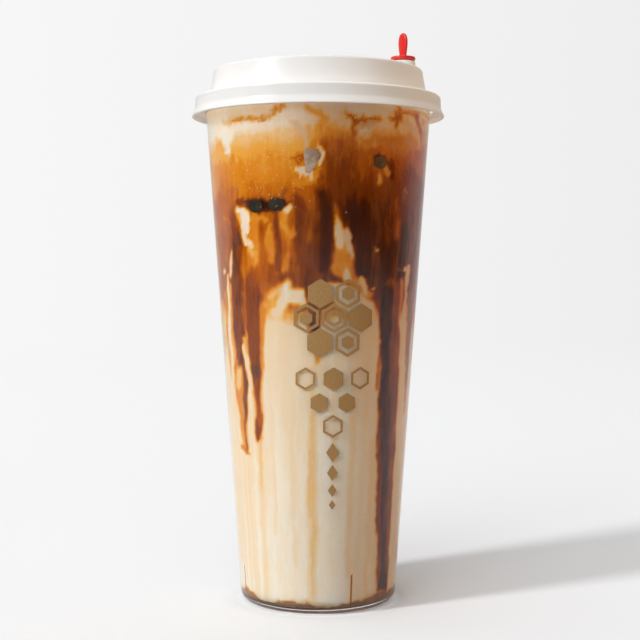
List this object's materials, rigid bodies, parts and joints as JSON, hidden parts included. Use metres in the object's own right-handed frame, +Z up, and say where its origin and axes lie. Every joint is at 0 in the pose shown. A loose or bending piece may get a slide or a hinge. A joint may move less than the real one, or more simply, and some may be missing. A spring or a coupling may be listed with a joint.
{
  "type": "bubble tea in a lidded cup",
  "caption": "Tall clear cup of milk tea with brown syrup running down the wall and foam on top, under a white two-tier lid with a red stopper in its sip hole.",
  "frame": {"origin": "centre of the cup's foot, on the surface that it stands on", "axes": "+Z up the cup's axis, -Y the front that the picture shows, +X the side that the stopper is on"},
  "size_m": [0.0968, 0.0968, 0.2184],
  "materials": {
    "clear_plastic": "clear, glossy",
    "white_plastic": "white, glossy",
    "red_plastic": "red, glossy",
    "milk_tea": "opaque milky liquid",
    "brown_tea": "amber to dark brown liquid",
    "milk_foam": "pale foam",
    "syrup": "dark syrup",
    "tapioca": "soft and glossy",
    "ice": "cloudy ice"
  },
  "bodies": {
    "root": {"cup": "clear_plastic", "lid": "white_plastic", "stopper": "red_plastic", "milk": "milk_tea", "tea": "brown_tea", "foam": "milk_foam", "settled_syrup": "syrup", "pearl_1": "tapioca", "pearl_2": "tapioca", "pearl_3": "tapioca", "ice": "ice"}
  },
  "joints": []
}
